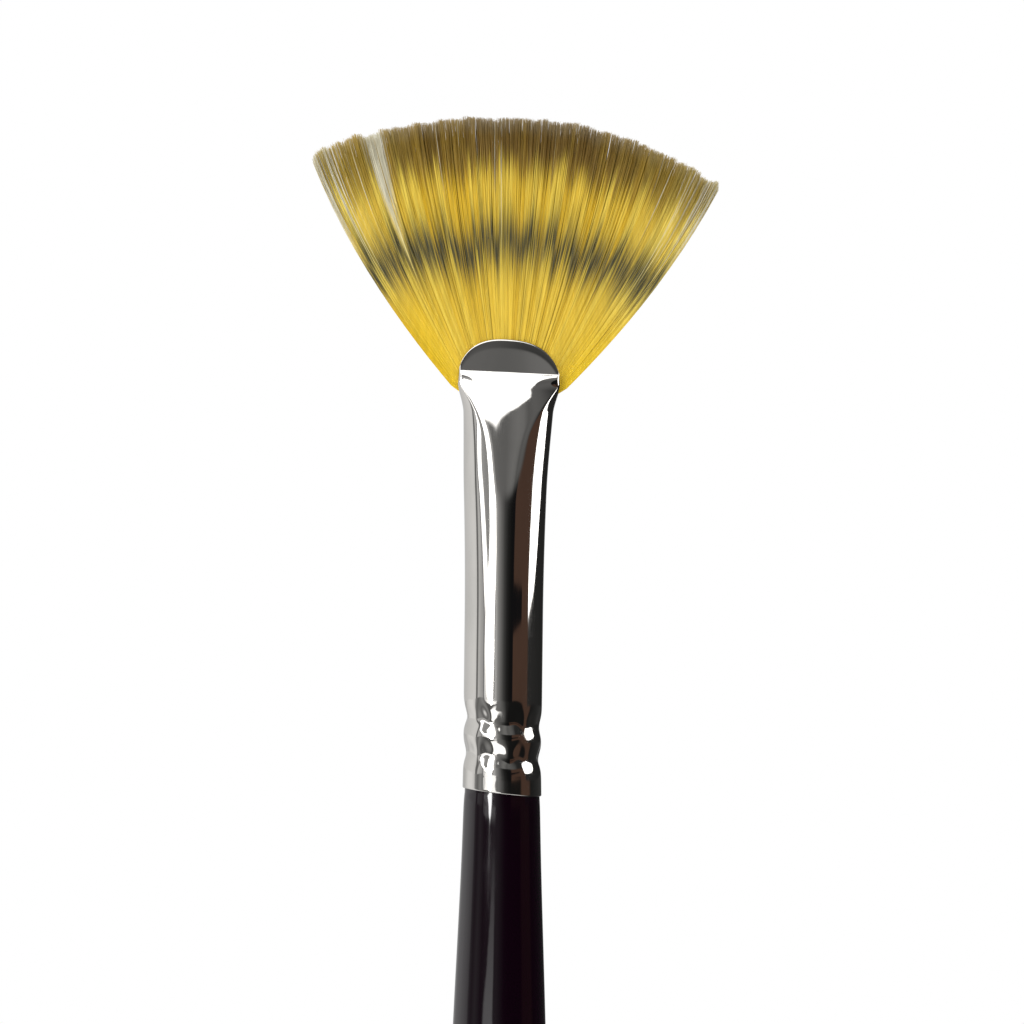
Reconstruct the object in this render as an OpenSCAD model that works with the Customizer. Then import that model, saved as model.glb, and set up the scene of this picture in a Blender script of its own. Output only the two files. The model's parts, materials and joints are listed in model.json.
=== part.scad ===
// Artist's fan brush: a lacquered wooden handle, a crimped nickel ferrule and a fan of hair.
// +Z runs from the tail to the hair, the fan lies in the XZ plane and its face looks along -Y.
// The origin is the end of the tail, on the axis. All sizes are in millimetres.

/* [Handle] */
// Length from the end of the tail to the lower edge of the ferrule
handle_length = 240; // [180:1:300]
// Radius of the parallel tail
tail_r = 2.4; // [1.8:0.1:3]
// Length of the parallel tail above its domed end
tail_length = 12; // [8:0.5:20]
// Radius of the belly, the thickest place
belly_r = 5.1; // [4.4:0.1:6.5]
// Distance of the belly below the ferrule
belly_drop = 46; // [30:1:70]
// Thickness of the lacquer coat
lacquer = 0.15; // [0.08:0.01:0.3]
// Length of the bare wooden tenon inside the ferrule
tenon_length = 13.5; // [10:0.5:15]

/* [Ferrule] */
// Radius of the round barrel
barrel_r = 3.92; // [3.7:0.01:4.2]
// Thickness of the sheet metal
wall = 0.32; // [0.25:0.01:0.4]
// Height of the mouth's two shoulders above the lower edge
shoulder_z = 40.7; // [38:0.1:44]
// Height of the arch above the shoulders
arch_rise = 4.5; // [3:0.1:5]
// Half width of the mouth
mouth_a = 5.13; // [4.9:0.01:5.3]
// Half thickness of the level lip
lip_b = 1.65; // [1.6:0.01:1.8]
// Height of the crease under the lip
crease_z = 42; // [41.5:0.1:43]
// Heights of the two crimped grooves above the lower edge
crimps = [3.7, 7.1];
// Depth of a crimped groove
crimp_depth = 0.34; // [0.1:0.01:0.36]
// Half width of a crimped groove
crimp_half = 1.65; // [1:0.05:1.7]

/* [Hair] */
// Number of locks side by side in the fan
lock_count = 18; // [8:1:40]
// Share of the fan's half width to the left of the axis
fan_left = 0.94; // [0.8:0.01:1.2]
// Share of the fan's half width to the right of the axis
fan_right = 1.06; // [0.8:0.01:1.2]
// Radius of the rounded outline that the tips follow
tip_r = 34.8; // [32:0.1:38]
// Height of that outline's centre above the ferrule's lower edge
tip_centre = 33; // [31:0.1:35]
// How far the locks differ in length
tip_step = 0.35; // [0:0.05:0.8]
// Half thickness of the hair where it bends
bend_r = 1.1; // [0.9:0.05:1.15]
// Half thickness of the hair at its tips
tip_half = 0.45; // [0.3:0.05:0.8]
// Gap between neighbouring locks
lock_gap = 0.08; // [0.04:0.01:0.15]

/* [Hidden] */
$fn = 72;
clear = 0.05;
base_z = handle_length;
belly_z = base_z - belly_drop;
tail_top = tail_r + tail_length;
neck_step = 0.08;
neck_r = barrel_r - neck_step;
tail_coat = 1.5;
turned_steps = 36;
sleeve_steps = 54;
neck_lean = 0.78;
taper_lean = 1.25;
glue = 0.12;
glue_steps = sleeve_steps - 4;
bore_r = barrel_r - wall;
tenon_r = bore_r - clear - glue;
rim_z = shoulder_z + arch_rise;
ring_sides = 48;
flatten_z = 17;
mouth_length = 3.5;
pinch_z = shoulder_z - mouth_length;
side_swell = 0.6;
press_slope = 0.15;
press_step = 0.7;
press_start = 0.8;
press_length = 4.6;
plug_gap = 2;
plug_length = 6.5;
plug_play = 0.25;
plug_z = tenon_length + plug_gap;
hair_sink = 4;
socket_play = clear + 0.02;
hair_foot = plug_z + plug_length - hair_sink;
foot_a = 2.8;
foot_b = 1.6;
mouth_play = 0.3;
root_top = rim_z + 0.1;
bend_gap = 0.12;
bend_z = root_top + bend_gap + bend_r;
slip_z = shoulder_z + 0.7;
set_top = shoulder_z - 0.1;
set_power = 2.2;
slip_power = 0.95;
rim_power = 2.3;
set_steps = 6;
slip_steps = 4;
flare_z = shoulder_z + 0.5;
flare_start = 6.4;
flare_slope = 0.907;
flare_curl = 0.0109;
fan_top = tip_centre + tip_r + 2 * tip_step;
outline_steps = 8;
tip_turn = 137;
tip_facets = 180;
lock_names = [for (i = [1:lock_count]) str("lock_", i < 10 ? "0" : "", i)];

// ---- shared curves ----

function clamp01(f) = max(0, min(1, f));
function ease(f) = let (g = clamp01(f)) g * g * (3 - 2 * g);

// A ramp from 0 to 1 that starts and ends level; lean sets how soon it rises.
function swell(f, lean) = pow(sin(90 * pow(clamp01(f), lean)), 2);

// Outer radius of the finished handle at height z above the tail.
function handle_r(z) = z > belly_z
    ? neck_r + (belly_r - neck_r) * swell((base_z - z) / belly_drop, neck_lean)
    : tail_r + (belly_r - tail_r) * swell((z - tail_top) / (belly_z - tail_top), taper_lean);

// Depth of the crimped grooves at height h above the ferrule's lower edge.
function crimp(h) = crimp_depth * max([
    for (c = crimps) abs(h - c) < crimp_half ? pow(cos(90 * (h - c) / crimp_half), 2) : 0
]);

// Half width of the whole fan at height h above the ferrule's lower edge.
function fan_half(h) = let (d = h - flare_z) flare_start + flare_slope * d - flare_curl * d * d;

// ---- handle ----

// Right-hand outline of the handle, shrunk by inset, from the tail's end up to the ferrule.
// The coat gathers towards the domed end of the tail, so the inset grows there by tail_coat.
function handle_outline(inset) = let (end_r = tail_r - tail_coat * inset) concat(
    [for (a = [0:9:81]) [end_r * sin(a), tail_r - end_r * cos(a)]],
    [[end_r, tail_r], [tail_r - inset, tail_top]],
    [for (i = [1:turned_steps])
        let (z = tail_top + (base_z - tail_top) * i / turned_steps) [handle_r(z) - inset, z]]
);

// Outline of a sleeve or tenon of radius r inside the ferrule, necked in by the crimps.
// It runs between two of the sleeve_steps levels that divide the tenon's length.
function crimped_outline(r, first, last) = [
    for (i = [first:sign(last - first):last])
        let (h = tenon_length * i / sleeve_steps) [r - crimp(h), base_z + h]
];

module handle_core() color("burlywood") rotate_extrude() polygon(concat(
    handle_outline(lacquer),
    crimped_outline(tenon_r, 0, sleeve_steps),
    [[0, base_z + tenon_length]]
));

module handle_lacquer() color([0.10, 0.03, 0.08]) rotate_extrude() difference() {
    polygon(concat(handle_outline(0), [[0, base_z]]));
    polygon(concat(handle_outline(lacquer), [[0, base_z]]));
}

module tenon_glue() color("goldenrod") rotate_extrude() polygon(concat(
    crimped_outline(tenon_r + glue, 1, glue_steps),
    crimped_outline(tenon_r, glue_steps, 1)
));

// ---- ferrule ----

// The tube is an ellipse. It keeps its girth as it widens, so its two half axes keep their sum.
function ferrule_a(h) = barrel_r - crimp(h)
    + side_swell * pow(clamp01((h - flatten_z) / (pinch_z - flatten_z)), 2)
    + (mouth_a - barrel_r - side_swell) * pow(clamp01((h - pinch_z) / (shoulder_z - pinch_z)), 2);
function ferrule_b(h) = 2 * (barrel_r - crimp(h)) - ferrule_a(h);

// Half thickness of the two pressed faces: level above the crease, and sloping out below it.
function pressed_b(h) = let (drop = max(0, crease_z - h))
    lip_b + press_slope * drop + press_step * ease((drop - press_start) / press_length);

// Height of the mouth's arched rim in the direction of angle round the section.
function rim(angle) = shoulder_z + arch_rise * abs(sin(angle));

// One ring of the ferrule: planar at height h up to pinch_z, then spread up to the arched rim.
function ferrule_ring(h, rise, inset) = [
    for (i = [0:ring_sides - 1])
        let (
            angle = 360 * i / ring_sides,
            z = h + rise * (rim(angle) - pinch_z),
            x = (ferrule_a(z) - inset) * cos(angle),
            y = min((ferrule_b(z) - inset) * abs(sin(angle)), pressed_b(z) - inset)
        ) [x, y * sign(sin(angle)), base_z + z]
];
crimp_levels = [for (c = crimps, d = [-1:0.25:1]) c + d * crimp_half];
taper_steps = 10;
taper_levels = [for (i = [0:taper_steps]) flatten_z + (pinch_z - flatten_z) * i / taper_steps];
ferrule_levels = concat([0], crimp_levels, taper_levels);
rise_levels = [for (i = [1:5]) i / 5];
function ferrule_skin(inset) = concat(
    [for (h = ferrule_levels) ferrule_ring(h, 0, inset)],
    [for (rise = rise_levels) ferrule_ring(pinch_z, rise, inset)]
);

function reversed(list) = [for (i = [len(list) - 1:-1:0]) list[i]];
function flattened(list) = [for (row = list) each row];

// Two triangles for each cell between ring i and the next one.
function cells(i, next, sides) = [
    for (j = [0:sides - 1])
        let (k = (j + 1) % sides)
        each [[i * sides + j, next * sides + j, next * sides + k],
              [i * sides + j, next * sides + k, i * sides + k]]
];

// A closed wall through rings that run up the outside and back down the inside.
module ring_wall(rings) {
    count = len(rings);
    sides = len(rings[0]);
    polyhedron(flattened(rings), [for (i = [0:count - 1]) each cells(i, (i + 1) % count, sides)]);
}

// A solid through rings stacked from bottom to top, closed by two flat ends.
module ring_solid(rings) {
    count = len(rings);
    sides = len(rings[0]);
    polyhedron(flattened(rings), concat(
        [[for (j = [0:sides - 1]) j]],
        [for (i = [0:count - 2]) each cells(i, i + 1, sides)],
        [[for (j = [sides - 1:-1:0]) (count - 1) * sides + j]]
    ));
}

module ferrule() color("silver") ring_wall(concat(ferrule_skin(0), reversed(ferrule_skin(wall))));

// ---- hair set in the ferrule ----

module root_plug() color("khaki") translate([0, 0, base_z + plug_z]) difference() {
    cylinder(r = bore_r - plug_play, h = plug_length);
    translate([-foot_a - socket_play, -foot_b - socket_play, hair_foot - clear - plug_z])
        cube([2 * (foot_a + socket_play), 2 * (foot_b + socket_play), plug_length]);
}

// Half width and half thickness of the set hair, and how square its section is, at height h.
// Inside the ferrule it widens towards the mouth; over the shoulders it slips out as a thin edge.
function set_a(h) = h < shoulder_z
    ? foot_a + (mouth_a - wall - mouth_play - foot_a)
        * pow((h - hair_foot) / (shoulder_z - hair_foot), 3)
    : fan_half(h);
function set_b(h) = foot_b + (bend_r - foot_b) * clamp01((h - hair_foot) / (rim_z - hair_foot));
function power_at(h) = h < shoulder_z
    ? set_power
    : slip_power + (rim_power - slip_power) * clamp01((h - slip_z) / (rim_z - slip_z));

// A point on an oval of half axes a and b. Power 2 is an ellipse, and a lower one is more pointed.
function oval(a, b, power, angle) = [
    a * sign(cos(angle)) * pow(abs(cos(angle)), 2 / power),
    b * sign(sin(angle)) * pow(abs(sin(angle)), 2 / power)
];

function set_ring(h) = [
    for (i = [0:ring_sides - 1])
        let (
            p = oval(set_a(h), set_b(h), power_at(h), 360 * i / ring_sides),
            side = h < shoulder_z ? 1 : p[0] < 0 ? fan_left : fan_right
        ) [side * p[0], p[1], base_z + h]
];

module bristle_root() color("tan") ring_solid([
    for (h = concat(
        [for (i = [0:set_steps]) hair_foot + (set_top - hair_foot) * i / set_steps],
        [for (i = [0:slip_steps]) slip_z + (root_top - slip_z) * i / slip_steps]
    )) set_ring(h)
]);

// ---- hair that bends ----

// Share of the half width at the left side of lock i, counted from 0.
function lock_side(i) = -fan_left + (fan_left + fan_right) * i / lock_count;

// Points up one side of a lock, moved sideways by shift.
function lock_edge(share, shift) = [
    for (i = [0:outline_steps])
        let (h = root_top + (fan_top - root_top) * i / outline_steps)
        [share * fan_half(h) + shift, base_z + h]
];

module lock_face(i) intersection() {
    polygon(concat(
        lock_edge(lock_side(i), lock_gap / 2),
        reversed(lock_edge(lock_side(i + 1), -lock_gap / 2))
    ));
    translate([0, base_z + tip_centre]) circle(r = tip_r + tip_step * sin(tip_turn * i), $fn = tip_facets);
}

module lock_profile() {
    translate([0, base_z + bend_z]) circle(r = bend_r);
    polygon([
        [-bend_r, base_z + bend_z], [bend_r, base_z + bend_z],
        [tip_half, base_z + fan_top], [-tip_half, base_z + fan_top]
    ]);
}

// One lock, counted from 0 at the left: its face in the XZ plane meets the side profile in YZ.
module lock(i) color(i % 2 == 0 ? "goldenrod" : "darkgoldenrod") intersection() {
    translate([0, 2 * bend_r, 0]) rotate([90, 0, 0]) linear_extrude(4 * bend_r) lock_face(i);
    translate([-fan_top, 0, 0]) rotate([90, 0, 90]) linear_extrude(2 * fan_top) lock_profile();
}

handle_core();
handle_lacquer();
tenon_glue();
ferrule();
root_plug();
bristle_root();
for (i = [0:lock_count - 1]) {
    lock(i);
}
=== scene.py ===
"""Looks of an artist's fan brush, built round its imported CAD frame.

Lengths named with _MM are millimetres, and heights among them are measured from the ferrule's
lower edge, as in the CAD source. Everything that goes into a mesh is turned into metres.
"""
import json
import math

import bpy
import numpy as np
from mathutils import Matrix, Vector


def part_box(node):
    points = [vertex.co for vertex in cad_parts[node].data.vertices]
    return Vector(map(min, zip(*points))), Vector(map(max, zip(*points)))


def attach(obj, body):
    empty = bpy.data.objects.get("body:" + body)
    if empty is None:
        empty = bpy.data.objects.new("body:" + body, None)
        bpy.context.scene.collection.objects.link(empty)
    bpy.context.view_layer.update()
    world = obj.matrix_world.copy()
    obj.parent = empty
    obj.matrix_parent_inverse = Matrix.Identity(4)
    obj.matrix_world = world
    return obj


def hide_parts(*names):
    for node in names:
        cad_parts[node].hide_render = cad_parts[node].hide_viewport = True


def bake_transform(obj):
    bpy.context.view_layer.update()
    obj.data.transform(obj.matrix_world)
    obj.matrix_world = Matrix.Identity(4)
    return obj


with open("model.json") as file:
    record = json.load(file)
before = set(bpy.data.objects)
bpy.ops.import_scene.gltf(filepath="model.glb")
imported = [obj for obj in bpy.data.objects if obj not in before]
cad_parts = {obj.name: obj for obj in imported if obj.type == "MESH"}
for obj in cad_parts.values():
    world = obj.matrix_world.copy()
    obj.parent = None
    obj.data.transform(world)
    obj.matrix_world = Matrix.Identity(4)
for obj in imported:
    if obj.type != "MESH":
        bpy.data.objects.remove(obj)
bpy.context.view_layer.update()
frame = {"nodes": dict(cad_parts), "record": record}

MM = 0.001
SEED = 685

# ---- places and sizes, from the frame ----

FERRULE_LOW, FERRULE_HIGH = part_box("ferrule")
BASE_Z = FERRULE_LOW.z
HANDLE_MM = BASE_Z / MM
BELLY_R_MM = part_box("handle_lacquer")[1].x / MM
RIM_MM = (FERRULE_HIGH.z - BASE_Z) / MM
MOUTH_A_MM = FERRULE_HIGH.x / MM + 0.1
TAIL = frame["record"]["mounts"][0]["dims"]
TAIL_R_MM = TAIL["r_mm"]
TAIL_TOP_MM = TAIL_R_MM + TAIL["length_mm"]
HAIR_FOOT_MM = (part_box("bristle_root")[0].z - BASE_Z) / MM
LOCKS = sorted(name for name in frame["nodes"] if name.startswith("lock_"))

# ---- shape of the ferrule and handle, as in the CAD source ----

BARREL_R_MM = 3.92
WALL_MM = 0.32
SHOULDER_MM = RIM_MM - 4.5
ARCH_RISE_MM = 5.1
ARCH_FOOT_MM = RIM_MM - ARCH_RISE_MM
ARCH_POWER = 2.5
CREASE_MM = 41.87
LIP_B_MM = 1.65
PRESS_SLOPE = 0.083
PRESS_TOP_SLOPE = 0.5
PRESS_LENGTH_MM = 6.5
PRESS_ROUND_MM = 17.0
PRESS_ROUND_REACH_MM = 1.6
LIP_ROUND_MM = 90.0
PRESS_TILT = 0.032
RIM_TILT = 0.06
RIM_FLARE_MM = 0.06
RIM_FLARE_REACH_MM = 1.1
MOUTH_SHIFT_MM = 0.27
SHIFT_FROM_MM = 30.0
SHIFT_LENGTH_MM = 11.0
MOUTH_POWER = 3.2
POWER_FROM_MM = 33.0
FLATTEN_MM = 17.0
PINCH_MM = SHOULDER_MM - 2.7
SIDE_SWELL_MM = 0.57
SKIRT_MM = 1.6
SKIRT_SLOPE = 0.02
CRIMPS_MM = (3.7, 7.1)
CRIMP_DEPTH_MM = 0.33
CRIMP_REACH_MM = 1.0
CRIMP_SLANT = 0.1
CRIMP_JAWS = 7
JAW_WANDER_MM = 0.13
JAW_DEPTH_MM = 0.04
BELLY_DROP_MM = 46.0
NECK_R_MM = BARREL_R_MM - 0.08
NECK_STEP_MM = 0.12
NECK_REACH_MM = 0.96
LACQUER_WAVE_MM = 0.012
LACQUER_TUCK_MM = 0.45
LACQUER_MM = 0.15

# ---- shape of the hair ----

FAN_LEFT = 0.94
FAN_RIGHT = 1.06
FLARE_MM = SHOULDER_MM + 0.5
FAN_FOOT_MM = 6.4
FAN_SLOPE = 0.907
FAN_BEND = 0.0109
TIP_CENTRE_MM = 33.0
TIP_R_MM = 34.42
TIP_HALF_MM = 0.55
TIP_MM = 68.0
MOUTH_HALF_MM = 1.15
MOUTH_GAP_MM = 0.2
MOUTH_FREE_SLOPE = 6.0
LEAVE_MM = 7.0
HAIR_OUT_MM = 22.0
ROOT_FOOT_A_MM = 2.7
ROOT_FOOT_B_MM = 1.5
ROOT_GAP_A_MM = 0.25
ROOT_GAP_B_MM = 0.12
STREAK_SHARE = -0.624
STREAK_HALF = 0.07
STRANDS_PER_LOCK = 420
ROOT_STRANDS = 700
CLUMPS_PER_LOCK = 5
CLUMP_UNEVEN_MM = 0.09
CLUMP_GATHER = 0.18
STRAND_UNEVEN_MM = 0.28
STRAND_DRIFT = 0.007
STRAND_FOOT_MM = 1.2
LEFT_LONGER_MM = 2.0
RIGHT_LONGER_MM = 0.6
END_SHORTER_MM = 0.7
STRAND_R_MM = 0.036
STRAND_RINGS = 15
STRAND_SIDES = 5

rng = np.random.default_rng(SEED)


def ease(f):
    """A level-ended ramp from 0 to 1, for numbers and arrays."""
    g = np.clip(f, 0.0, 1.0)
    return g * g * (3 - 2 * g)


def swell(f, lean):
    """A level-ended ramp from 0 to 1, whose middle comes later with a larger lean."""
    return np.sin(np.pi / 2 * np.clip(f, 0.0, 1.0) ** lean) ** 2


def soft_min(a, b, reach):
    """The smaller of a and b, with the corner between them rounded over reach."""
    h = np.clip(0.5 + 0.5 * (b - a) / reach, 0.0, 1.0)
    return b * (1 - h) + a * h - reach * h * (1 - h)


# ---- camera, floor and studio ----

CAMERA_DISTANCE = 0.485
VIEW_HEIGHT_MM = 28.0
VIEW_SIDE_MM = 0.7
VIEW_SPAN = 0.1024
SENSOR_MM = 36.0
ROLL_DEG = 0.64
STUDIO_Z = BASE_Z + VIEW_HEIGHT_MM * MM


def make_camera():
    data = bpy.data.cameras.new("camera")
    data.sensor_width = SENSOR_MM
    data.lens = SENSOR_MM * CAMERA_DISTANCE / VIEW_SPAN
    data.clip_start = 0.01
    data.clip_end = 20
    camera = bpy.data.objects.new("camera", data)
    bpy.context.scene.collection.objects.link(camera)
    camera.location = (VIEW_SIDE_MM * MM, -CAMERA_DISTANCE, STUDIO_Z)
    camera.rotation_euler = (math.pi / 2, 0, 0)
    camera.rotation_mode = "XYZ"
    camera.rotation_euler.rotate_axis("Z", math.radians(ROLL_DEG))
    bpy.context.scene.camera = camera


def new_object(name, vertices, faces):
    mesh = bpy.data.meshes.new(name)
    mesh.from_pydata(vertices, [], faces)
    mesh.validate()
    piece = bpy.data.objects.new(name, mesh)
    bpy.context.scene.collection.objects.link(piece)
    return piece


# ---- light that the metal and lacquer mirror ----

# A round tent of light stands about the brush and is seen only in reflections: pale on the left,
# dark flags on the right, and upright light boxes. Azimuths are in degrees, 0 on the camera's side
# and 90 on the brush's right, and heights are in millimetres above the ferrule's lower edge.
TENT_RADIUS = 0.11
TENT_TOP_MM = 270.0
TENT_STEP_DEG = 0.5
TENT_ROOF = (1.0, 1.0, 1.0)
BOX_EDGE_DEG = 2.0

# Rings of (azimuth, brightness or colour).
DUSK = (0.088, 0.050, 0.036)
LEVEL_RING = [
    (-180, 0.62), (-150, 0.66), (-120, 0.80), (-95, 0.90), (-86, 0.85), (-84, 0.18), (-80, 0.18),
    (-77, 0.66), (-66, 0.50), (-48, 0.36), (-26, 0.36), (-22, 0.60), (-16, 0.32), (-7, 0.17),
    (1, 0.065), (9, 0.022), (17, 0.010), (25.5, 0.008), (27.5, DUSK), (74, DUSK), (76, 0.03),
    (150, 0.02), (165, 0.10), (180, 0.62),
]
LOW_RING = [
    (-180, 0.55), (-140, 0.60), (-117, 0.95), (-100, 1.0), (-89, 0.84), (-84, 0.30), (-76, 0.17),
    (-65, 0.32), (-56, 0.20), (-50, 0.10), (-22, 0.20), (-10, 0.22), (0, 0.11), (9, 0.03),
    (20, 0.012), (54, 0.010), (60, DUSK), (84, DUSK), (92, 0.015), (160, 0.05), (180, 0.55),
]
HIGH_RING = [
    (-180, 0.70), (-95, 1.2), (-80, 1.5), (-72, 2.2), (26, 2.2),
]
SHADE_RING = [
    (-14, 0.20), (-8, 0.17), (0, 0.16), (5, 0.20), (9, 0.22), (14, 0.20), (18, 0.13), (24, 0.15),
    (30, 0.13), (36, 0.09), (44, 0.03), (100, 0.02), (165, 0.05), (180, 0.70),
]

# The dark flag, the leaning box with its dim border, and the strip beside it.
FLAG = (0.008, 0.008, 0.009)
BORDER = (0.22, 0.22, 0.23)
LEAN_HALF_DEG = 6.5
STRIP_HALF = [(-1, 0), (2, 4), (6.5, 10), (11, 15.5), (18, 12), (30, 8.5)]
STRIP_GLOW = [(12, 1.7), (18, 3.5)]

# The right-hand box: its sides, its foot by azimuth, and its brightness.
RIGHT_BOX_DEG = (75, 111)
RIGHT_BOX_FOOT = [(74, 15), (83, 16.6), (95, 18.4), (102, 20.9), (106, 23.3), (112, 29)]
RIGHT_BOX_GLOW = 3.5

# The card at the ferrule's lower edge, the bright core over it, and the lamp by the handle.
CARD_DEG = -34.5
CARD_HALF = [(-3, 14), (-2, 19), (-1, 13.5), (1.5, 18.5), (3, 8)]
CARD_GLOW = 1.6
CORE_MIDDLE = [(4, -35), (12, -37)]
CORE_HALF = [(-4, 0), (-1.7, 3.0), (4, 4.8), (10, 6), (22, 7.5)]
CORE_GLOW = 26.0
LAMP_MIDDLE = [(-50, -23), (-25, -30), (-20, -26), (-11, -22), (-7, -21)]
LAMP_HALF = [(-50, 17), (-25, 12), (-20, 9), (-11, 4.5), (-7, 4)]
LAMP_GLOW = [(-90, 0), (-75, 2.2), (-24, 1.8), (-11, 1.1), (-7.5, 0.5), (-5.5, 0)]

# The opening high up that the pressed face mirrors: its foot by azimuth, its right side by height.
OPENING_FOOT = [
    (-100, 80), (-28, 80), (-26, 64), (-15, 64), (-9, 59), (-5, 68), (9, 84), (17, 98), (21, 106),
]
OPENING_RIGHT = [
    (110, 21), (118, 22), (136, 22.5), (150, 15.5), (165, 11.5), (207, 10.5), (240, 8),
]

FLOOR_GLOW = (0.9, 0.9, 0.9)
FLOOR_FADE_MM = 130.0


def along(value, knots):
    """Runs straight between knots, which are (value, result)."""
    return np.interp(value, *zip(*knots))


def grey(level):
    """A brightness, or one for each place, as a colour."""
    return np.asarray(level, float)[..., None] * np.ones(3)


def ring_color(knots, azimuth):
    """Colour of a ring at each azimuth, straight between its knots."""
    places = [knot[0] for knot in knots]
    colors = [knot[1] if isinstance(knot[1], tuple) else (knot[1],) * 3 for knot in knots]
    return np.stack([np.interp(azimuth, places, [c[i] for c in colors]) for i in range(3)], axis=-1)


def over(under, top, share):
    """The colour under, covered with the colour top to a share from 0 to 1."""
    return under * (1 - share[..., None]) + np.asarray(top) * share[..., None]


def box_share(value, low, high, soft=BOX_EDGE_DEG):
    """1 between low and high, falling to 0 over soft on each side."""
    return ease((value - low) / soft + 0.5) * ease((high - value) / soft + 0.5)


def barrel_light(azimuth, height):
    """The level ring with its flag, the leaning box, the strip and the right-hand box."""
    color = ring_color(LEVEL_RING, azimuth)
    flag_right = 27 + 26 * box_share(height, 14, 20.6, 2.0)
    color = over(color, FLAG, box_share(azimuth, 20, flag_right))

    # The box leans to the left as it rises, between two upright stretches.
    lean = np.clip(-38.2 - 0.743 * height, -68, -50)
    color = over(color, BORDER, box_share(azimuth, lean - 10, lean - 6))
    glow = 0.9 + 1.8 * ease((height - 15) / 5)
    share = box_share(azimuth, lean - LEAN_HALF_DEG, lean + LEAN_HALF_DEG, 2.5)
    color = over(color, grey(glow), share)

    middle = -41 + 9.5 * ease((height - 12) / 18)
    half = along(height, STRIP_HALF)
    share = box_share(azimuth, middle - half, middle + half)
    color = over(color, grey(along(height, STRIP_GLOW)), share)

    foot = along(azimuth, RIGHT_BOX_FOOT)
    share = box_share(azimuth, *RIGHT_BOX_DEG) * ease((height - foot) / 0.8 + 0.5)
    return over(color, grey(RIGHT_BOX_GLOW), share)


def low_light(color, azimuth, height):
    """Adds the low ring, the card and core at the ferrule's lower edge, and the handle's lamp."""
    edge = np.where((azimuth > -57) & (azimuth < -25), -2.0, 1.5)
    color = over(color, ring_color(LOW_RING, azimuth), ease((edge - height) / 1.5 + 0.5))

    half = along(height, CARD_HALF)
    card = box_share(azimuth, CARD_DEG - half, CARD_DEG + half) * box_share(height, -3, 3, 0.8)
    color = over(color, grey(CARD_GLOW), card)

    middle, half = along(height, CORE_MIDDLE), along(height, CORE_HALF)
    core = box_share(azimuth, middle - half, middle + half) * box_share(height, -3.5, 22, 1.5)
    color = over(color, grey(CORE_GLOW), core)

    middle, half = along(height, LAMP_MIDDLE), along(height, LAMP_HALF)
    glow = along(height, LAMP_GLOW)
    lamp = box_share(azimuth, middle - half, middle + half, 4) * ease(glow / 0.4)
    return over(color, grey(glow), lamp)


def high_light(color, azimuth, height):
    """Adds the shade above the barrel, outside the right-hand box, and the bright opening."""
    front = (azimuth > -17) & (azimuth < 180)
    above = np.where(front, ease((height - 38) / 5), 0.0)
    above = above * (1 - box_share(azimuth, *RIGHT_BOX_DEG) * ease((85 - height) / 4))
    color = over(color, ring_color(SHADE_RING, azimuth), above)

    foot = along(azimuth, OPENING_FOOT)
    right = along(height, OPENING_RIGHT)
    opened = ease((height - foot) / 4 + 0.5) * ease((right - azimuth) / BOX_EDGE_DEG + 0.5)
    return over(color, ring_color(HIGH_RING, azimuth), opened)


def tent_color(azimuth, height):
    """Light that the tent sends from each azimuth and height. Near the floor it fades to paper."""
    color = barrel_light(azimuth, height)
    color = low_light(color, azimuth, height)
    color = high_light(color, azimuth, height)
    near_floor = ease(1 - (height + HANDLE_MM) / FLOOR_FADE_MM)
    return over(color, FLOOR_GLOW, near_floor)


def tent_rows():
    """Heights of the tent's rows, closest together where the ferrule mirrors them."""
    return np.concatenate([
        np.linspace(-HANDLE_MM, -60, 30), np.arange(-58, -20, 2.0), np.arange(-20, 60, 0.2),
        np.arange(60, 120, 1.5), np.linspace(120, TENT_TOP_MM, 32),
    ])


def tent_material():
    """Light of the colours in the attribute glow."""
    material = bpy.data.materials.new("light_tent")
    material.use_nodes = True
    nodes = material.node_tree.nodes
    nodes.clear()
    glow = nodes.new("ShaderNodeAttribute")
    glow.attribute_name = "glow"
    light = nodes.new("ShaderNodeEmission")
    out = nodes.new("ShaderNodeOutputMaterial")
    material.node_tree.links.new(glow.outputs["Color"], light.inputs["Color"])
    material.node_tree.links.new(light.outputs[0], out.inputs["Surface"])
    return material


def make_tent():
    """The tent: a round wall and a flat roof."""
    azimuths = np.linspace(-180, 180, round(360 / TENT_STEP_DEG) + 1)
    heights = tent_rows()
    azimuth, height = np.meshgrid(azimuths, heights, indexing="ij")
    turn = np.radians(azimuth)
    wall = np.stack([
        TENT_RADIUS * np.sin(turn), -TENT_RADIUS * np.cos(turn), BASE_Z + height * MM,
    ], axis=-1).reshape(-1, 3)
    rows = len(heights)
    column, row = np.meshgrid(np.arange(len(azimuths) - 1), np.arange(rows - 1), indexing="ij")
    first = column * rows + row
    quads = np.stack([first, first + rows, first + rows + 1, first + 1], axis=-1).reshape(-1, 4)
    apex = [[0, 0, BASE_Z + TENT_TOP_MM * MM]]
    top = np.arange(len(azimuths) - 1) * rows + rows - 1
    roof = np.stack([top, top + rows, np.full_like(top, len(wall))], axis=-1)
    tent = new_object("light_tent", np.concatenate([wall, apex]).tolist(),
                      quads.tolist() + roof.tolist())
    color = np.concatenate([tent_color(azimuth, height).reshape(-1, 3), [TENT_ROOF]])
    opaque = np.ones((len(color), 1))
    layer = tent.data.attributes.new("glow", "FLOAT_COLOR", "POINT")
    layer.data.foreach_set("color", np.concatenate([color, opaque], axis=1).ravel())
    tent.data.materials.append(tent_material())
    tent.visible_camera = False
    tent.visible_diffuse = False
    tent.visible_transmission = False
    tent.visible_shadow = False


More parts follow.
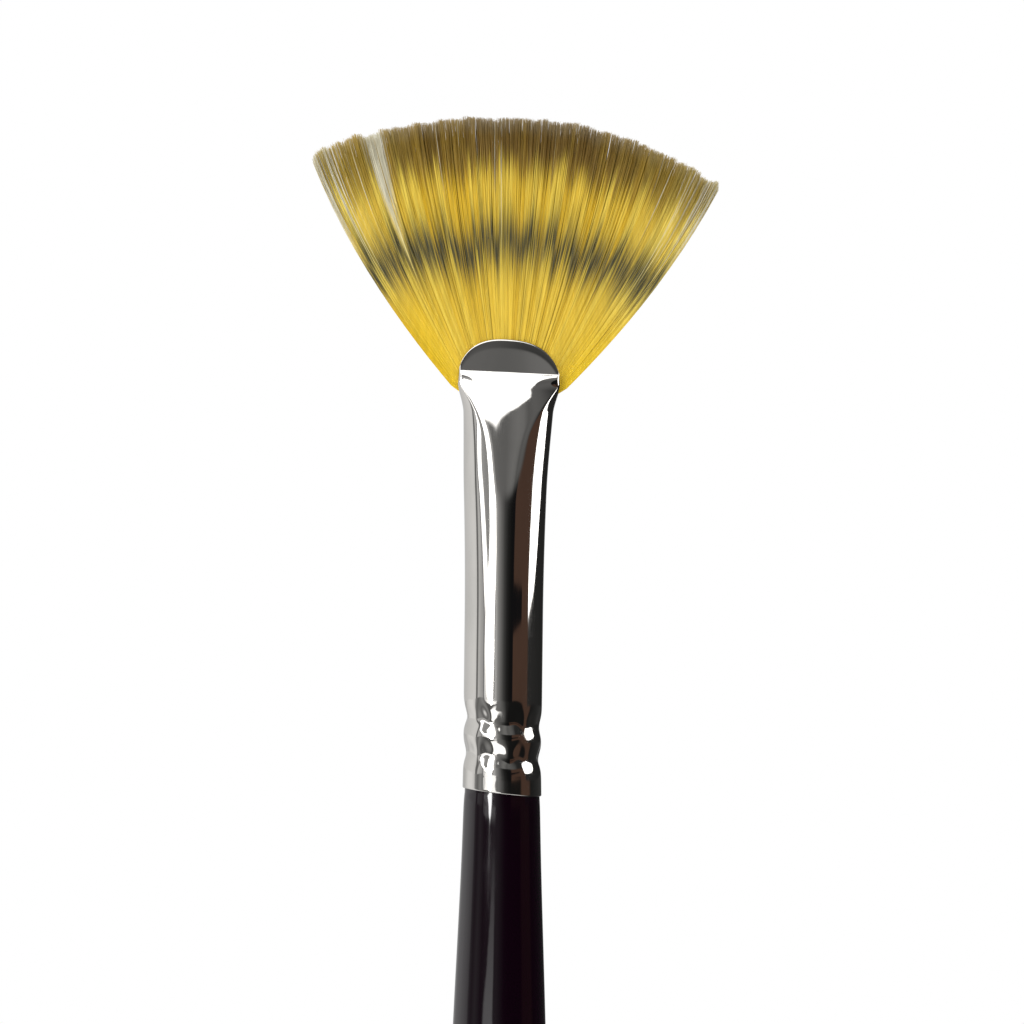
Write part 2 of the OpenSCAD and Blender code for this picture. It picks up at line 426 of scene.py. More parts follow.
def make_studio():
    """Even white surroundings, the tent, and a large soft lamp from the upper left."""
    scene = bpy.context.scene
    scene.view_settings.view_transform = "Standard"
    world = bpy.data.worlds.new("world")
    scene.world = world
    world.use_nodes = True
    world.node_tree.nodes["Background"].inputs["Color"].default_value = (1, 1, 1, 1)
    world.node_tree.nodes["Background"].inputs["Strength"].default_value = 1.0
    make_tent()
    data = bpy.data.lights.new("key", "AREA")
    data.energy = 4.0
    data.size = 0.9
    key = bpy.data.objects.new("key", data)
    scene.collection.objects.link(key)
    key.location = (-0.45, -0.6, STUDIO_Z + 0.45)
    aim = Vector((0.0, 0.0, STUDIO_Z)) - key.location
    key.rotation_euler = aim.to_track_quat("-Z", "Y").to_euler()
    key.visible_glossy = False


def make_floor():
    """A pale round sheet of paper under the brush."""
    sides = 96
    radius = 2.0
    turns = [2 * math.pi * i / sides for i in range(sides)]
    vertices = [(0, 0, 0)] + [(radius * math.cos(t), radius * math.sin(t), 0) for t in turns]
    faces = [(0, 1 + i, 1 + (i + 1) % sides) for i in range(sides)]
    floor = new_object("floor", vertices, faces)
    material, _, _, shader = new_material("floor_paper")
    shader.inputs["Base Color"].default_value = (0.9, 0.9, 0.9, 1)
    shader.inputs["Roughness"].default_value = 0.9
    floor.data.materials.append(material)


# ---- material helpers ----


def new_material(name):
    """A material with its nodes, links and shader."""
    material = bpy.data.materials.new(name)
    material.use_nodes = True
    nodes = material.node_tree.nodes
    return material, nodes, material.node_tree.links, nodes["Principled BSDF"]


def feed(links, socket, value):
    """Sets a socket to a plain value, or links it to another node's output."""
    if hasattr(value, "is_output"):
        links.new(value, socket)
    elif isinstance(value, tuple) and len(value) == 3 and socket.type == "RGBA":
        socket.default_value = (*value, 1)
    else:
        socket.default_value = value


def math_node(nodes, links, operation, *values):
    node = nodes.new("ShaderNodeMath")
    node.operation = operation
    for socket, value in zip(node.inputs, values):
        feed(links, socket, value)
    return node.outputs[0]


def ramp(nodes, links, value, low, high, to_low=0.0, to_high=1.0):
    """Maps value from low..high to to_low..to_high, with level ends."""
    node = nodes.new("ShaderNodeMapRange")
    node.interpolation_type = "SMOOTHSTEP"
    feed(links, node.inputs["Value"], value)
    feed(links, node.inputs["From Min"], low)
    feed(links, node.inputs["From Max"], high)
    feed(links, node.inputs["To Min"], to_low)
    feed(links, node.inputs["To Max"], to_high)
    return node.outputs["Result"]


def blend_color(nodes, links, factor, first, second):
    node = nodes.new("ShaderNodeMix")
    node.data_type = "RGBA"
    feed(links, node.inputs[0], factor)
    feed(links, node.inputs[6], first)
    feed(links, node.inputs[7], second)
    return node.outputs[2]


def position(nodes, links, scale):
    """The place on the piece, stretched by scale along X, Y and Z."""
    place = nodes.new("ShaderNodeTexCoord")
    mapping = nodes.new("ShaderNodeMapping")
    mapping.inputs["Scale"].default_value = scale
    links.new(place.outputs["Object"], mapping.inputs["Vector"])
    return mapping.outputs["Vector"]


def noise(nodes, links, vector, scale, detail, roughness=0.5):
    node = nodes.new("ShaderNodeTexNoise")
    feed(links, node.inputs["Vector"], vector)
    node.inputs["Scale"].default_value = scale
    node.inputs["Detail"].default_value = detail
    node.inputs["Roughness"].default_value = roughness
    return node.outputs["Fac"]


def bump(nodes, links, shader, height, distance, strength):
    node = nodes.new("ShaderNodeBump")
    node.inputs["Strength"].default_value = strength
    node.inputs["Distance"].default_value = distance
    links.new(height, node.inputs["Height"])
    links.new(node.outputs["Normal"], shader.inputs["Normal"])


def attribute(nodes, name):
    node = nodes.new("ShaderNodeAttribute")
    node.attribute_name = name
    return node.outputs["Fac"]


# ---- materials ----


def nickel():
    """Bright nickel plate with faint lengthwise drawing lines and rubbed patches."""
    material, nodes, links, shader = new_material("nickel_plate")
    shader.inputs["Metallic"].default_value = 1.0
    rubbed = noise(nodes, links, position(nodes, links, (1, 1, 0.4)), 260, 4, 0.6)
    color = blend_color(nodes, links, ramp(nodes, links, rubbed, 0.35, 0.75),
                        (0.66, 0.64, 0.61), (0.60, 0.585, 0.555))
    links.new(color, shader.inputs["Base Color"])
    drawn = noise(nodes, links, position(nodes, links, (1, 1, 0.02)), 9000, 2)
    worn = math_node(nodes, links, "ADD", ramp(nodes, links, rubbed, 0.4, 0.8, 0.035, 0.10),
                     ramp(nodes, links, drawn, 0.3, 0.8, 0.0, 0.03))
    links.new(worn, shader.inputs["Roughness"])
    bump(nodes, links, shader, drawn, 0.000002, 0.25)
    return material


def lacquer():
    """Deep aubergine lacquer, almost black, with a slight orange peel and rubbed gloss."""
    material, nodes, links, shader = new_material("aubergine_lacquer")
    place = position(nodes, links, (1, 1, 0.5))
    depth = noise(nodes, links, place, 90, 3)
    color = blend_color(nodes, links, depth, (0.0026, 0.0002, 0.0019), (0.0040, 0.0005, 0.0029))
    links.new(color, shader.inputs["Base Color"])
    handled = noise(nodes, links, place, 210, 5, 0.65)
    links.new(ramp(nodes, links, handled, 0.35, 0.85, 0.05, 0.16), shader.inputs["Roughness"])
    peel = noise(nodes, links, place, 700, 2)
    bump(nodes, links, shader, peel, 0.00002, 0.35)
    return material


def turned_wood():
    """Pale birch with long grain and fine pores."""
    material, nodes, links, shader = new_material("birch")
    grain = noise(nodes, links, position(nodes, links, (1, 1, 0.03)), 900, 5, 0.6)
    color = blend_color(nodes, links, ramp(nodes, links, grain, 0.3, 0.75),
                        (0.52, 0.35, 0.19), (0.72, 0.54, 0.34))
    links.new(color, shader.inputs["Base Color"])
    links.new(ramp(nodes, links, grain, 0.2, 0.8, 0.55, 0.75), shader.inputs["Roughness"])
    pores = noise(nodes, links, position(nodes, links, (1, 1, 0.08)), 4000, 3)
    bump(nodes, links, shader, pores, 0.00004, 0.5)
    return material


def resin():
    """Cured amber adhesive with cloudy streaks."""
    material, nodes, links, shader = new_material("amber_adhesive")
    cloud = noise(nodes, links, position(nodes, links, (1, 1, 0.5)), 800, 4)
    color = blend_color(nodes, links, ramp(nodes, links, cloud, 0.3, 0.7),
                        (0.55, 0.33, 0.10), (0.74, 0.55, 0.26))
    links.new(color, shader.inputs["Base Color"])
    links.new(ramp(nodes, links, cloud, 0.2, 0.8, 0.2, 0.4), shader.inputs["Roughness"])
    bump(nodes, links, shader, cloud, 0.00005, 0.4)
    return material


def cement():
    """Set brush cement, matte and grainy."""
    material, nodes, links, shader = new_material("brush_cement")
    grit = noise(nodes, links, position(nodes, links, (1, 1, 1)), 2500, 5, 0.7)
    color = blend_color(nodes, links, ramp(nodes, links, grit, 0.3, 0.7),
                        (0.42, 0.33, 0.20), (0.62, 0.52, 0.35))
    links.new(color, shader.inputs["Base Color"])
    links.new(ramp(nodes, links, grit, 0.2, 0.8, 0.6, 0.9), shader.inputs["Roughness"])
    bump(nodes, links, shader, grit, 0.0001, 0.6)
    return material


# Place and width of the band, measured along the filament from its tip.
BAND_MM = 12.4
BAND_WIDTH_MM = 2.6


def banded_hair():
    """Golden filaments with a dark olive band and brown tips, and grey-white ones at the fan's ends."""
    material, nodes, links, shader = new_material("banded_hair")
    tip = attribute(nodes, "tip_mm")
    own = attribute(nodes, "strand_tone")
    other = attribute(nodes, "strand_shift")
    clump = attribute(nodes, "clump_tone")
    pale = attribute(nodes, "pale")
    end = attribute(nodes, "end_share")

    def math2(operation, *values):
        return math_node(nodes, links, operation, *values)

    def mix(factor, first, second):
        return blend_color(nodes, links, factor, first, second)

    # Gold, which towards the fan's ends is paler high up and deeper low down.
    mixed = math2("ADD", math2("MULTIPLY", own, 0.35), math2("MULTIPLY", clump, 0.65))
    spread = ramp(nodes, links, tip, 8.0, 26.0, 0.8, 0.25)
    tone = math2("ADD", math2("MULTIPLY", math2("SUBTRACT", mixed, 0.5), spread), 0.5)
    gold = mix(ramp(nodes, links, tone, 0.1, 0.9), (0.66, 0.415, 0.018), (0.78, 0.595, 0.090))
    outer = ramp(nodes, links, end, 0.5, 1.0)
    high = ramp(nodes, links, tip, 20.0, 12.0, 0.0, 0.4)
    gold = mix(math2("MULTIPLY", outer, high), gold, (0.80, 0.65, 0.16))
    deep = ramp(nodes, links, tip, 14.0, 24.0, 0.0, 0.8)
    gold = mix(math2("MULTIPLY", outer, deep), gold, (0.74, 0.50, 0.012))

    # The olive band, which wanders from filament to filament and from clump to clump.
    wander = math2("ADD", math2("MULTIPLY", math2("SUBTRACT", other, 0.5), 1.8),
                   math2("MULTIPLY", math2("SUBTRACT", clump, 0.5), 2.4))
    shifted = math2("ADD", tip, wander)
    off = math2("DIVIDE", math2("SUBTRACT", shifted, BAND_MM), BAND_WIDTH_MM)
    bell = math2("EXPONENT", math2("MULTIPLY", math2("MULTIPLY", off, off), -1.0))
    band = math2("MULTIPLY", bell, ramp(nodes, links, own, 0.0, 0.6, 0.55, 1.0))
    banded = mix(band, gold, (0.075, 0.070, 0.040))

    # The brown tips, weaker towards the fan's ends and paler where each filament ends.
    weaker = ramp(nodes, links, end, 0.25, 1.0, 1.0, 0.62)
    brown = math2("MULTIPLY", ramp(nodes, links, shifted, 7.0, 3.2), weaker)
    tip_color = mix(own, (0.135, 0.073, 0.011), (0.225, 0.143, 0.035))
    tip_color = mix(ramp(nodes, links, tip, 1.8, 0.0, 0.0, 0.55), tip_color, (0.36, 0.29, 0.17))
    browned = mix(math2("MULTIPLY", brown, ramp(nodes, links, clump, 0.0, 0.4, 0.85, 1.0)),
                  banded, tip_color)

    # The grey-white filaments, then the fine streaks along each.
    ghost = mix(ramp(nodes, links, tip, 5.0, 16.0), (0.64, 0.60, 0.45), (0.86, 0.70, 0.18))
    reach = math2("MULTIPLY", pale, 20.0)
    paleness = ramp(nodes, links, tip, reach, math2("SUBTRACT", reach, 8.0))
    color = mix(paleness, browned, ghost)
    streak = noise(nodes, links, position(nodes, links, (1, 1, 0.12)), 2400, 3)
    shade = ramp(nodes, links, streak, 0.3, 0.7, 0.87, 1.0)
    dark = mix(shade, (0.0, 0.0, 0.0), color)
    links.new(dark, shader.inputs["Base Color"])
    links.new(ramp(nodes, links, own, 0.0, 1.0, 0.38, 0.55), shader.inputs["Roughness"])
    shader.inputs["Specular IOR Level"].default_value = 0.12
    cuticle = noise(nodes, links, position(nodes, links, (1, 1, 1)), 9000, 2)
    bump(nodes, links, shader, cuticle, 0.000004, 0.3)
    return material


# ---- ferrule ----


def ring_quads(rings, sides, closed=False):
    """Quads between neighbouring rings, and from the last ring to the first if closed."""
    faces = []
    for i in range(rings if closed else rings - 1):
        n = (i + 1) % rings
        for j in range(sides):
            k = (j + 1) % sides
            faces.append((i * sides + j, i * sides + k, n * sides + k, n * sides + j))
    return faces


def smooth(piece):
    """Shades a piece's faces smoothly."""
    piece.data.polygons.foreach_set("use_smooth", [True] * len(piece.data.polygons))


def skirt(h):
    """How far the ferrule's lower edge opens at height h."""
    return SKIRT_SLOPE * np.maximum(0.0, SKIRT_MM - h)


def ferrule_a(h):
    """Half width of the ferrule: round, then widening, then flaring out at the shoulders."""
    length = PINCH_MM - FLATTEN_MM
    start = np.clip((h - FLATTEN_MM) / length, 0, 1)
    last = np.clip((h - PINCH_MM) / (SHOULDER_MM - PINCH_MM), 0, 1)
    steady = 2 * SIDE_SWELL_MM / length * (SHOULDER_MM - PINCH_MM)
    flare = MOUTH_A_MM - BARREL_R_MM - SIDE_SWELL_MM - steady
    return BARREL_R_MM + skirt(h) + SIDE_SWELL_MM * start**2 + steady * last + flare * last**1.4


def ferrule_b(h):
    """Half thickness of the unpressed ferrule, which loses in depth what it gains in width."""
    return 2 * (BARREL_R_MM + skirt(h)) - ferrule_a(h)


def pressed_b(h):
    """Half thickness of the pressed faces: level above the crease, then sloping out to the barrel."""
    drop = np.maximum(0.0, CREASE_MM - h)
    left = 1 - np.clip(drop / PRESS_LENGTH_MM, 0, 1)
    return LIP_B_MM + PRESS_SLOPE * drop + PRESS_TOP_SLOPE * PRESS_LENGTH_MM / 3 * (1 - left**3)


def section_power(h):
    """2 for an ellipse; more towards the mouth, whose section is squarer."""
    rise = np.clip((h - POWER_FROM_MM) / (SHOULDER_MM - POWER_FROM_MM), 0, 1)
    return 2 + (MOUTH_POWER - 2) * rise**2.5


def mouth_shift(h):
    """How far the section has moved to the right at height h."""
    return MOUTH_SHIFT_MM * ease((h - SHIFT_FROM_MM) / SHIFT_LENGTH_MM)


def crimp(h, angle):
    """Depth of the two crimped grooves, which the jaws of the tool left a little uneven."""
    depth = np.zeros_like(h)
    for turn, centre in enumerate(CRIMPS_MM):
        jaws = np.cos(CRIMP_JAWS * angle + 0.9 + 2.1 * turn) + 0.6 * np.cos(13 * angle + 1.7 + turn)
        away = (h - centre - JAW_WANDER_MM * jaws) / CRIMP_REACH_MM
        depth = depth + (CRIMP_DEPTH_MM + JAW_DEPTH_MM * jaws) * np.exp(-away**2)
    return depth


def ferrule_point(angle, z, inset):
    """A point on the ferrule's wall, inset from its outside, at height z and angle round it."""
    below = ferrule_rim(angle) - WALL_MM / 2 - z
    flare = RIM_FLARE_MM * np.clip(1 - below / RIM_FLARE_REACH_MM, 0, 1) ** 2
    cosine, sine = np.cos(angle), np.abs(np.sin(angle))
    power = 2 / section_power(z)
    across = (ferrule_a(z) - inset) * np.sign(cosine) * np.abs(cosine) ** power
    groove = crimp(z + CRIMP_SLANT * across, angle)
    level = z + PRESS_TILT * across
    drop = CREASE_MM - level
    curve = ease(drop / PRESS_ROUND_REACH_MM) / PRESS_ROUND_MM + 1 / LIP_ROUND_MM
    pressed = pressed_b(level) - inset - across**2 / 2 * curve
    full = (ferrule_b(z) - inset) * sine**power
    corner = 0.06 + 0.08 * ease(drop / 8)
    y = np.maximum(0.0, soft_min(full, pressed, corner) + flare * sine - groove * sine)
    x = across - groove * cosine + mouth_shift(z)
    return x, y * np.sign(np.sin(angle)), z


def ferrule_rim(angle):
    """Height of the arched rim in the direction of angle round the section."""
    across = np.abs(np.cos(angle)) ** (2 / MOUTH_POWER)
    tilt = RIM_TILT * across * np.sign(np.cos(angle)) * MOUTH_A_MM
    return arch_height(across) - tilt


def arch_height(across):
    """Height of the untilted arch at a share across of the mouth's half width."""
    left = np.maximum(0, 1 - np.abs(across) ** ARCH_POWER)
    return ARCH_FOOT_MM + ARCH_RISE_MM * left ** (1 / ARCH_POWER)


def ferrule_levels():
    """Heights of the rings below the part where they spread up to the arched rim."""
    return np.concatenate([
        np.linspace(0.12, 10, 100), np.linspace(10.5, 28, 24), np.linspace(28.4, PINCH_MM, 24),
    ])


def make_ferrule():
    """One closed tube: outside, rolled rim, inside and rolled lower edge."""
    sides = 288
    angle = 2 * np.pi * (np.arange(sides) + 0.5) / sides
    rim = ferrule_rim(angle)
    half = WALL_MM / 2
    slant = -CRIMP_SLANT * np.cos(angle) * BARREL_R_MM
    rings = []

    def add(z, inset):
        rings.append(np.stack(ferrule_point(angle, z, inset), axis=1))

    def lower(z):
        """Leans the rings near the lower edge, as the crimps lean."""
        return z + slant * (1 - ease(z / 14))

    levels = [lower(np.full(sides, z)) for z in ferrule_levels()]
    rises = [PINCH_MM + (rim - half - PINCH_MM) * f for f in np.linspace(0, 1, 84)[1:]]
    for z in levels + rises:
        add(z, 0.0)
    for turn in np.linspace(0, np.pi, 7)[1:-1]:
        add(rim - half + half * math.sin(turn), half - half * math.cos(turn))
    for z in (levels + rises)[::-4]:
        add(z, WALL_MM)
    for turn in np.linspace(0, np.pi, 5)[1:-1]:
        add(levels[0] - 0.12 * math.sin(turn), half + half * math.cos(turn))
    points = np.concatenate(rings) * MM
    points[:, 2] += BASE_Z
    piece = new_object("ferrule_plate", points.tolist(), ring_quads(len(rings), sides, closed=True))
    smooth(piece)
    piece.data.materials.append(nickel())
    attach(piece, "brush")
    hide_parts("ferrule")


# ---- handle ----


def handle_r(z):
    """Outer radius of the lacquered handle at height z above its tail's end, in millimetres."""
    belly = HANDLE_MM - BELLY_DROP_MM
    below = np.maximum(0.0, HANDLE_MM - z)
    neck = NECK_R_MM + (BELLY_R_MM - NECK_R_MM) * swell(below / BELLY_DROP_MM, 0.78)
    neck = neck - NECK_STEP_MM * np.exp(-below / NECK_REACH_MM)
    taper = TAIL_R_MM + (BELLY_R_MM - TAIL_R_MM) * swell(
        (z - TAIL_TOP_MM) / (belly - TAIL_TOP_MM), 1.25)
    return np.where(z > belly, neck, taper)


def make_lacquer():
    """A closed thin coat: its outside, a rounded upper edge under the ferrule, and its inside."""
    sides = 128
    dome = np.linspace(0, np.pi / 2, 14)[1:]
    turned = np.concatenate([
        np.linspace(TAIL_R_MM, HANDLE_MM - 12, 220)[1:],
        np.linspace(HANDLE_MM - 11.8, HANDLE_MM + LACQUER_TUCK_MM, 60),
    ])
    heights = np.concatenate([TAIL_R_MM * (1 - np.cos(dome)), turned])
    radii = np.concatenate([TAIL_R_MM * np.sin(dome), handle_r(turned)])
    inner = radii[::-5] - LACQUER_MM
    inner_heights = heights[::-5]
    keep = inner > 0.3
    radii = np.concatenate([radii, inner[keep]])
    heights = np.concatenate([heights, np.maximum(inner_heights[keep], LACQUER_MM)])
    angle = 2 * np.pi * np.arange(sides) / sides
    wave = LACQUER_WAVE_MM * np.sin(heights / 7.0)[:, None] * np.cos(angle + 0.6)
    r = radii[:, None] + wave * ease((heights / 30)[:, None])
    x = r * np.cos(angle)
    y = r * np.sin(angle)
    z = np.repeat(heights[:, None], sides, axis=1)
    points = np.stack([x, y, z], axis=2).reshape(-1, 3)
    points = np.concatenate([points, [[0, 0, 0], [0, 0, LACQUER_MM]]]) * MM
    count = len(radii)
    last = (count - 1) * sides
    faces = [(count * sides, (j + 1) % sides, j) for j in range(sides)]
    faces += ring_quads(count, sides)
    faces += [(count * sides + 1, last + j, last + (j + 1) % sides) for j in range(sides)]
    piece = new_object("lacquer_coat", points.tolist(), faces)
    smooth(piece)
    piece.data.materials.append(lacquer())
    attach(piece, "brush")
    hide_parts("handle_lacquer")


def dress_inner_nodes():
    """The nodes inside the handle and ferrule keep their CAD shape and get their own materials."""
    for node, material in (("handle_core", turned_wood()), ("tenon_glue", resin()),
                           ("root_plug", cement())):
        mesh = frame["nodes"][node].data
        mesh.materials.clear()
        mesh.materials.append(material)


# ---- hair ----


def fan_half(h):
    """Half width of the whole fan at height h, before the left and right shares."""
    d = h - FLARE_MM
    return FAN_FOOT_MM + FAN_SLOPE * d - FAN_BEND * d * d


def rim_crossing(u):
    """Height at which a filament with share u of the fan's width passes the arched rim."""
    low = np.full_like(u, ARCH_FOOT_MM)
    high = np.full_like(u, RIM_MM)
    inner = MOUTH_A_MM - WALL_MM
    for _ in range(30):
        mid = (low + high) / 2
        out = mid > arch_height(np.minimum(1, np.abs(u) * fan_half(mid) / inner))
        high = np.where(out, mid, high)
        low = np.where(out, low, mid)
    return (low + high) / 2


def tip_height(u, radius):
    """Height at which a filament meets the rounded outline of that radius."""
    h = np.full_like(u, TIP_CENTRE_MM + TIP_R_MM)
    for _ in range(20):
        h = TIP_CENTRE_MM + np.sqrt(np.maximum(1.0, radius**2 - (u * fan_half(h)) ** 2))
    return h


def outline(u):
    """How far the tips stand out from or fall short of the rounded outline: soft scallops."""
    return 0.09 * np.sin(17 * u + 1.3) * np.sin(7.3 * u + 0.4) + 0.08 * np.sin(43 * u + 0.8)


def pale_reach(u, side):
    """How far each filament is pale, as a share: many at the two ends, and a streak on the left."""
    chance = rng.uniform(0, 1, len(u))
    ends = 0.008 + 0.38 * ease((side - 0.78) / 0.18) + 0.40 * ease((side - 0.95) / 0.04)
    reach = (chance < ends) * rng.uniform(0.35, 0.9, len(u))
    near = np.clip(1 - np.abs(u - STREAK_SHARE) / STREAK_HALF, 0, 1)
    streak = (chance < 0.9 * ease(1.6 * near)) * (0.15 + 0.75 * near**1.5)
    return np.maximum(reach, streak)


def mouth_limit(h, side):
    """Half width left for hair at height h: inside the mouth's wall, then free above it."""
    room = ferrule_a(h) - WALL_MM - MOUTH_GAP_MM + side * MOUTH_SHIFT_MM
    free_from = ARCH_FOOT_MM - 0.25 - side * 0.2
    return room + np.maximum(0, h - free_from) * MOUTH_FREE_SLOPE


def strand_paths(u, v, start, top, drift, centre, gather, cross):
    """Centre lines (filament, ring, xyz) that fan out from the mouth to the tips."""
    count = len(u)
    f = np.linspace(0, 1, STRAND_RINGS) ** 1.35
    h = start[:, None] + (top - start)[:, None] * f[None, :]
    pull = gather * f[None, :] ** 3
    share = u[:, None] + (centre - u)[:, None] * pull + drift[:, None] * f[None, :] ** 2
    share = np.clip(share, -FAN_LEFT, FAN_RIGHT)
    x = share * fan_half(h)
    side = np.sign(u)[:, None]
    x = np.sign(x) * soft_min(np.abs(x), mouth_limit(h, side), 0.25)
    rise = np.clip((cross - ARCH_FOOT_MM) / ARCH_RISE_MM, 0.1, 1)
    slot = np.minimum((ferrule_b(cross) - WALL_MM) * rise, LIP_B_MM - WALL_MM) * 0.92
    out = (h - SHOULDER_MM) / (TIP_MM - SHOULDER_MM)
    spread = MOUTH_HALF_MM + (TIP_HALF_MM - MOUTH_HALF_MM) * out
    leave = ease((h - cross[:, None]) / LEAVE_MM)
    y = v[:, None] * (slot[:, None] * (1 - leave) + spread * leave)
    phase = rng.uniform(0, 2 * np.pi, (2, count, 1))
    x = x + 0.02 * f * np.sin(5 * f + phase[0])
    y = y + 0.05 * f * np.sin(4 * f + phase[1])
    return np.stack([x, y, h], axis=2)


def lock_strands(low, high):
    """Centre lines and attributes of one lock's filaments, which have shares low to high."""
    count = STRANDS_PER_LOCK
    u = rng.uniform(low, high, count)
    v = np.sin(np.pi / 2 * rng.uniform(-1, 1, count))
    jitter = rng.uniform(0.2, 0.8, CLUMPS_PER_LOCK)
    centres = low + (high - low) * (np.arange(CLUMPS_PER_LOCK) + jitter) / CLUMPS_PER_LOCK
    clump = np.argmin(np.abs(u[:, None] - centres[None, :]), axis=1)
    clump_length = rng.normal(0, CLUMP_UNEVEN_MM, CLUMPS_PER_LOCK)
    clump_tone = rng.uniform(0, 1, CLUMPS_PER_LOCK)
    side = np.abs(u - (FAN_RIGHT - FAN_LEFT) / 2) / ((FAN_RIGHT + FAN_LEFT) / 2)
    free = ease((1 - side) / 0.05)
    drift = rng.normal(0, STRAND_DRIFT, count) * free
    left_longer = LEFT_LONGER_MM * (np.abs(u) / FAN_LEFT) ** 1.4
    right_longer = RIGHT_LONGER_MM * (np.abs(u) / FAN_RIGHT) ** 2
    longer = np.where(u < 0, left_longer, right_longer)
    radius = TIP_R_MM + longer + outline(u) + clump_length[clump]
    shorter = END_SHORTER_MM * np.clip((side - 0.965) / 0.035, 0, 1) ** 2
    radius -= np.abs(rng.normal(0, STRAND_UNEVEN_MM, count)) + shorter
    cross = rim_crossing(u)
    gather = (CLUMP_GATHER * free)[:, None]
    top = tip_height(u, radius)
    foot = cross - STRAND_FOOT_MM
    paths = strand_paths(u, v, foot, top, drift, centres[clump], gather, cross)
    facts = {
        "strand_tone": rng.uniform(0, 1, count),
        "strand_shift": rng.uniform(0, 1, count),
        "clump_tone": clump_tone[clump],
        "pale": pale_reach(u, side),
        "end_share": side,
    }
    return paths, facts


def strand_mesh(name, paths, facts):
    """Thin tapered tubes along paths (filament, ring, xyz), in millimetres above the ferrule."""
    count, rings, _ = paths.shape
    along = np.gradient(paths, axis=1)
    along /= np.linalg.norm(along, axis=2, keepdims=True)
    side = np.cross(along, np.array([0.0, 1.0, 0.0]))
    side /= np.linalg.norm(side, axis=2, keepdims=True)
    front = np.cross(side, along)
    f = np.linspace(0, 1, rings)
    radius = STRAND_R_MM * (1 - 0.7 * ease((f - 0.84) / 0.16))
    angle = 2 * np.pi * np.arange(STRAND_SIDES) / STRAND_SIDES
    offset = (side[:, :, None, :] * np.cos(angle)[None, None, :, None]
              + front[:, :, None, :] * np.sin(angle)[None, None, :, None])
    points = paths[:, :, None, :] + offset * radius[None, :, None, None]
    points = points.reshape(-1, 3) * MM
    points[:, 2] += BASE_Z

    per = rings * STRAND_SIDES
    ring, corner = np.meshgrid(np.arange(rings - 1), np.arange(STRAND_SIDES), indexing="ij")
    after = (corner + 1) % STRAND_SIDES
    quads = np.stack([
        ring * STRAND_SIDES + corner, ring * STRAND_SIDES + after,
        (ring + 1) * STRAND_SIDES + after, (ring + 1) * STRAND_SIDES + corner,
    ], axis=2).reshape(-1, 4)
    all_quads = (quads[None] + (np.arange(count) * per)[:, None, None]).reshape(-1, 4)
    root = np.arange(STRAND_SIDES)[::-1]
    end = (rings - 1) * STRAND_SIDES + np.arange(STRAND_SIDES)
    caps = (np.stack([root, end])[None] + (np.arange(count) * per)[:, None, None])
    faces = all_quads.tolist() + caps.reshape(-1, STRAND_SIDES).tolist()
    mesh = bpy.data.meshes.new(name)
    mesh.from_pydata(points.tolist(), [], faces)
    mesh.polygons.foreach_set("use_smooth", [True] * len(faces))
    piece = bpy.data.objects.new(name, mesh)
    bpy.context.scene.collection.objects.link(piece)

    steps = np.linalg.norm(np.diff(paths, axis=1), axis=2)
    walked = np.concatenate([np.zeros((count, 1)), np.cumsum(steps, axis=1)], axis=1)
    to_tip = walked[:, -1:] - walked
    add_attribute(mesh, "tip_mm", np.repeat(to_tip.reshape(-1), STRAND_SIDES))
    for key, values in facts.items():
        add_attribute(mesh, key, np.repeat(values, per))
    lay_out_columns(mesh, count, rings, ring, corner)
    return piece


def add_attribute(mesh, name, values):
    layer = mesh.attributes.new(name, "FLOAT", "POINT")
    layer.data.foreach_set("value", np.asarray(values, np.float32))


def lay_out_columns(mesh, count, rings, ring, corner):
    """UVs with one upright cell for each filament, so that a baked texture keeps them apart."""
    columns = math.ceil(math.sqrt(count * 4))
    rows = math.ceil(count / columns)
    strand = np.arange(count)
    left = (strand % columns)[:, None, None]
    low = (strand // columns)[:, None, None]
    across = np.stack([corner, corner + 1, corner + 1, corner], axis=2).reshape(1, -1, 4)
    up = np.stack([ring, ring, ring + 1, ring + 1], axis=2).reshape(1, -1, 4)
    u = (left + 0.15 + 0.7 * across / STRAND_SIDES) / columns
    v = (low + 0.04 + 0.92 * up / (rings - 1)) / rows
    quads = np.stack([u, v], axis=3).reshape(-1, 2)
    turn = 2 * np.pi * np.arange(STRAND_SIDES) / STRAND_SIDES
    cap_u = (left + 0.5 + 0.2 * np.cos(turn)[None, None, :]) / columns
    cap_v = (low + np.array([0.05, 0.95])[None, :, None] + 0.01 * np.sin(turn)[None, None, :]) / rows
    caps = np.stack(np.broadcast_arrays(cap_u, cap_v), axis=3).reshape(-1, 2)
    layer = mesh.uv_layers.new(name="OFBake")
    layer.data.foreach_set("uv", np.concatenate([quads, caps]).astype(np.float32).reshape(-1))


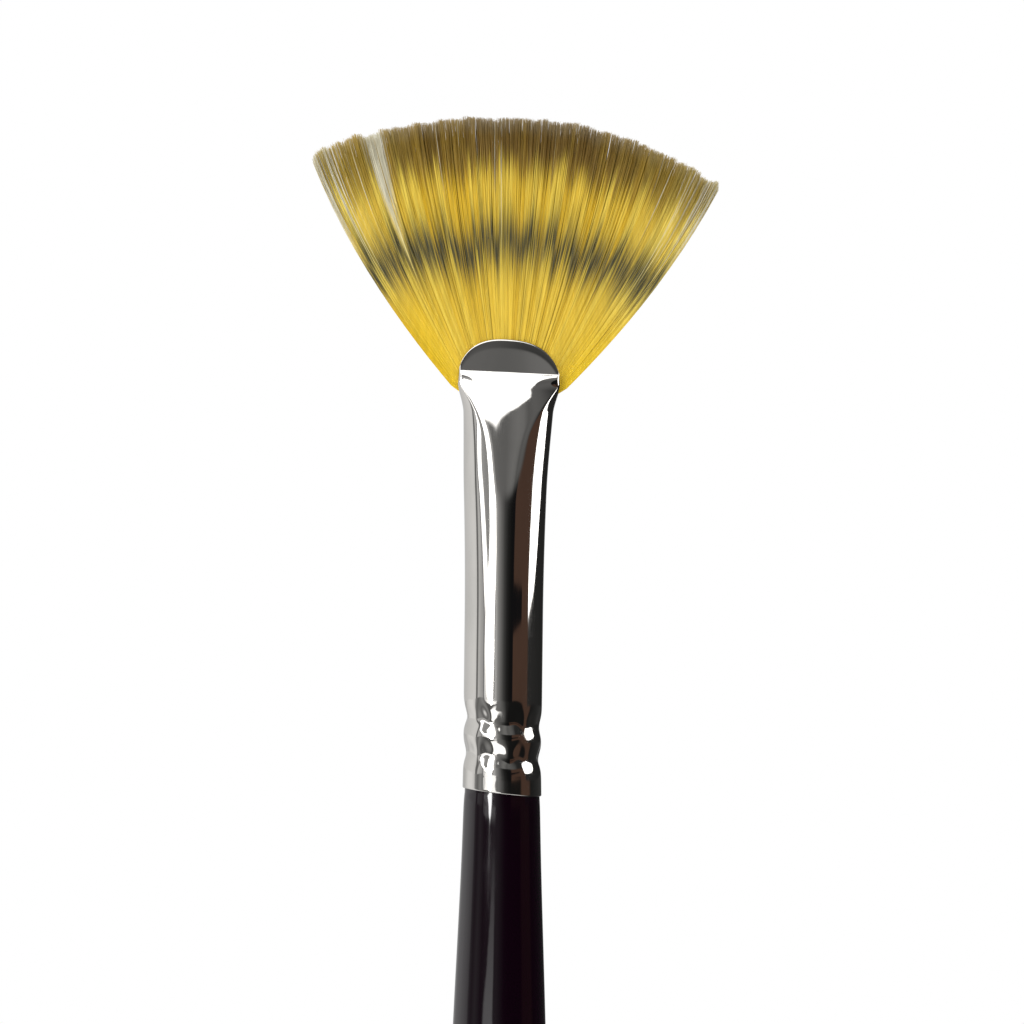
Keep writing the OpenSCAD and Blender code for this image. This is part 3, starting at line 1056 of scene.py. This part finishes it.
def make_locks(material):
    """One piece of filaments for each CAD lock."""
    width = (FAN_LEFT + FAN_RIGHT) / len(LOCKS)
    for i, node in enumerate(LOCKS):
        paths, facts = lock_strands(-FAN_LEFT + width * i, -FAN_LEFT + width * (i + 1))
        piece = strand_mesh("hair_" + node, paths, facts)
        piece.data.materials.append(material)
        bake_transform(piece)
        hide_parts(node)


def make_root(material):
    """The gripped ends of the filaments, from the cement up to just inside the rim."""
    count = ROOT_STRANDS
    turn = rng.uniform(0, 2 * np.pi, count)
    out = np.sqrt(rng.uniform(0, 1, count))
    across = out * np.cos(turn)
    depth = out * np.sin(turn)
    top = arch_height(across) - 0.5
    f = np.linspace(0, 1, 9)
    h = HAIR_FOOT_MM + (top[:, None] - HAIR_FOOT_MM) * f[None, :]
    grow = ease((h - HAIR_FOOT_MM) / (SHOULDER_MM - HAIR_FOOT_MM))
    mouth_a = MOUTH_A_MM - WALL_MM - ROOT_GAP_A_MM
    mouth_b = LIP_B_MM - WALL_MM - ROOT_GAP_B_MM
    a = ROOT_FOOT_A_MM + (mouth_a - ROOT_FOOT_A_MM) * grow
    a = np.minimum(a, ferrule_a(h) - WALL_MM - ROOT_GAP_A_MM)
    b = ROOT_FOOT_B_MM + (mouth_b - ROOT_FOOT_B_MM) * grow
    paths = np.stack([across[:, None] * a + mouth_shift(h), depth[:, None] * b, h], axis=2)
    facts = {
        "strand_tone": rng.uniform(0, 1, count),
        "strand_shift": rng.uniform(0, 1, count),
        "clump_tone": rng.uniform(0, 1, count),
        "pale": np.zeros(count),
        "end_share": np.zeros(count),
    }
    piece = strand_mesh("hair_root", paths, facts)
    tip = piece.data.attributes["tip_mm"].data
    values = np.zeros(len(tip), np.float32)
    tip.foreach_get("value", values)
    tip.foreach_set("value", values + HAIR_OUT_MM)
    piece.data.materials.append(material)
    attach(piece, "brush")
    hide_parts("bristle_root")


make_camera()
make_studio()
make_floor()
make_ferrule()
make_lacquer()
dress_inner_nodes()
hair = banded_hair()
make_root(hair)
make_locks(hair)

bpy.context.view_layer.update()
